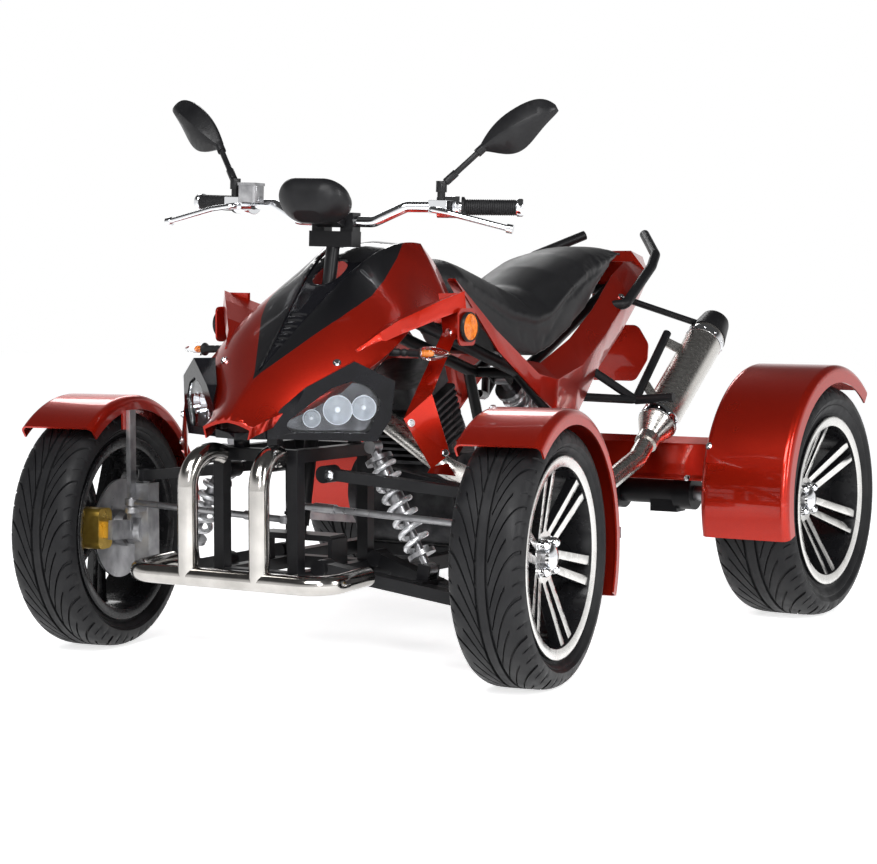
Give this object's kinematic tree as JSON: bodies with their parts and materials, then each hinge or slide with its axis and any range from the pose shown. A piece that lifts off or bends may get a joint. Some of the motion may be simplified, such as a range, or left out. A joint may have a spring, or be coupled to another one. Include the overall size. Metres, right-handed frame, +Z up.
{
  "type": "quad bike",
  "caption": "Road quad bike with a fender hugging each wheel, low-profile tyres on alloy rims, chrome front hoops, pointed nose, stepped seat and a high silencer.",
  "frame": {"origin": "on the ground at the middle of the overall box, under the centre line", "axes": "+Z up, -Y to the front, +X to the rider's left"},
  "size_m": [1.331, 1.752, 1.1557],
  "materials": {
    "red_paint": "gloss metallic red",
    "black_frame": "satin black",
    "chrome": "polished",
    "steel": "brushed",
    "engine_metal": "dark cast",
    "gold_caliper": "anodised gold",
    "black_plastic": "matt",
    "gloss_black": "gloss",
    "lens": "clear",
    "amber": "moulded lens",
    "red_lens": "moulded lens",
    "seat_cover": "grained vinyl",
    "rubber": "ribbed",
    "tyre": "tread",
    "alloy": "machined face, black sides"
  },
  "bodies": {
    "chassis": {"rails": "black_frame", "bulkhead": "black_frame", "spine": "black_frame", "bumper": "chrome", "engine": "engine_metal", "swing_arm": "black_frame", "arms": "black_frame", "dampers": "steel", "springs": "chrome", "nose_cowl": "red_paint", "nose_inlay": "gloss_black", "headlight_mask": "gloss_black", "headlight_lenses": "lens", "side_wings": "red_paint", "side_reflectors": "amber", "signals": "lens", "seat": "seat_cover", "tail_cowl": "red_paint", "grab_rails": "black_frame", "tail_lamp": "red_lens", "tail_mudguard": "red_paint", "fenders_rear": "red_paint", "axle_cover": "red_paint", "exhaust": "steel", "silencer_cap": "black_plastic", "peg_brackets": "black_frame", "rider_pegs": "black_plastic"},
    "steering": {"steering_column": "black_frame", "handlebar": "chrome", "grips": "rubber", "controls": "black_plastic", "levers": "chrome", "reservoir": "lens", "instrument_pod": "black_plastic", "mirrors": "black_plastic"},
    "knuckle_left": {"knuckle_left": "black_frame", "caliper_left": "gold_caliper", "fender_front_left": "red_paint"},
    "knuckle_right": {"knuckle_right": "black_frame", "caliper_right": "gold_caliper", "fender_front_right": "red_paint"},
    "wheel_front_left": {"tyre_front_left": "tyre", "rim_front_left": "alloy", "hub_front_left": "steel"},
    "wheel_front_right": {"tyre_front_right": "tyre", "rim_front_right": "alloy", "hub_front_right": "steel"},
    "rear_axle": {"rear_axle": "black_frame", "tyres_rear": "tyre", "rims_rear": "alloy"},
    "tie_rod_left": {"tie_rod_left": "chrome"},
    "tie_rod_right": {"tie_rod_right": "chrome"}
  },
  "joints": [
    {"name": "steer", "type": "hinge", "parent": "chassis", "child": "steering", "pos_m": [0, -0.478, 0.87], "axis": [0, 0.1975, 0.9803], "range_deg": [-43.5, 26.5]},
    {"name": "kingpin_left", "type": "hinge", "parent": "chassis", "child": "knuckle_left", "pos_m": [0.405, -0.59, 0.25], "axis": [0, 0, 1], "range_deg": [-43.5, 26.5]},
    {"name": "tie_rod_end_left", "type": "hinge", "parent": "knuckle_left", "child": "tie_rod_left", "pos_m": [0.41387, -0.64934, 0.314], "axis": [0, 0, 1], "range_deg": [-26.5, 43.5]},
    {"name": "spin_front_left", "type": "hinge", "parent": "knuckle_left", "child": "wheel_front_left", "pos_m": [0.51379, -0.57374, 0.25], "axis": [0.989, 0.1478, 0], "continuous": true},
    {"name": "kingpin_right", "type": "hinge", "parent": "chassis", "child": "knuckle_right", "pos_m": [-0.405, -0.59, 0.25], "axis": [0, 0, 1], "range_deg": [-43.5, 26.5]},
    {"name": "tie_rod_end_right", "type": "hinge", "parent": "knuckle_right", "child": "tie_rod_right", "pos_m": [-0.39613, -0.64934, 0.314], "axis": [0, 0, 1], "range_deg": [-26.5, 43.5]},
    {"name": "spin_front_right", "type": "hinge", "parent": "knuckle_right", "child": "wheel_front_right", "pos_m": [-0.51379, -0.60626, 0.25], "axis": [0.989, 0.1478, 0], "continuous": true},
    {"name": "spin_rear", "type": "hinge", "parent": "chassis", "child": "rear_axle", "pos_m": [0, 0.59, 0.267], "axis": [1, 0, 0], "continuous": true}
  ],
  "couplings": [
    {"joint": "kingpin_left", "follows": "steer", "ratio": 1},
    {"joint": "tie_rod_end_left", "follows": "steer", "ratio": -1},
    {"joint": "kingpin_right", "follows": "steer", "ratio": 1},
    {"joint": "tie_rod_end_right", "follows": "steer", "ratio": -1}
  ]
}
